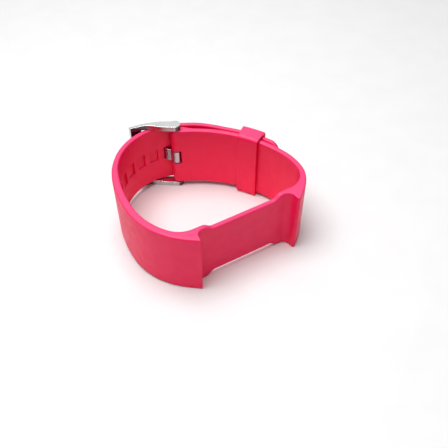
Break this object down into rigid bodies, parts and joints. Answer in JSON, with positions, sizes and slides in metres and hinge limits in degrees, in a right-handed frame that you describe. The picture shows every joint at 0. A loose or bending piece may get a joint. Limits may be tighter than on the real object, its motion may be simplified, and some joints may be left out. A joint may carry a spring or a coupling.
{
  "type": "fitness tracker band",
  "caption": "Silicone wristband for a fitness tracker: thin tracker seat between thick shoulders, keeper loop and steel tongue buckle, shown fastened and lying on its side.",
  "frame": {"origin": "centre of the overall box in plan, at the height of the buckle frame's lower side bar, on which the band lies", "axes": "+Z across the strap's width (the wrist's axis), +X along the tracker seat, +Y from the seat towards the buckle; the seat faces -Y"},
  "size_m": [0.0538, 0.052, 0.0258],
  "materials": {
    "silicone": "matte pink-red silicone",
    "buckle_steel": "polished stainless steel",
    "bar_steel": "satin stainless steel",
    "spring_steel": "spring steel wire"
  },
  "bodies": {
    "strap": {"band": "silicone", "spring_bar_tube": "bar_steel", "spring_bar_spring": "spring_steel"},
    "keeper": {"keeper_loop": "silicone"},
    "frame": {"buckle_frame": "buckle_steel"},
    "tongue": {"buckle_tongue": "buckle_steel"},
    "tip_upper": {"spring_bar_tip_upper": "bar_steel"},
    "tip_lower": {"spring_bar_tip_lower": "bar_steel"}
  },
  "joints": [
    {"name": "buckle_swing", "type": "hinge", "parent": "strap", "child": "frame", "pos_m": [0.0012, 0.01975, 0.0129], "axis": [0, 0, -1], "range_deg": [0, 6]},
    {"name": "tongue_lift", "type": "hinge", "parent": "frame", "child": "tongue", "pos_m": [0.0012, 0.01975, 0.0129], "axis": [0, 0, -1], "range_deg": [0, 3]},
    {"name": "keeper_slide", "type": "hinge", "parent": "strap", "child": "keeper", "pos_m": [-0.01392, -0.0189, 0.0129], "axis": [0, 0, 1], "range_deg": [-4.5, 8.5]},
    {"name": "upper_tip_press", "type": "slide", "parent": "strap", "child": "tip_upper", "axis": [0, 0, -1], "range_m": [0, 0.0009], "stiffness_N_per_m": 1500, "springref_m": -0.001, "deforming": ["spring_bar_spring"]},
    {"name": "lower_tip_press", "type": "slide", "parent": "strap", "child": "tip_lower", "axis": [0, 0, 1], "range_m": [0, 0.0009], "stiffness_N_per_m": 1500, "springref_m": -0.001, "deforming": ["spring_bar_spring"]}
  ]
}
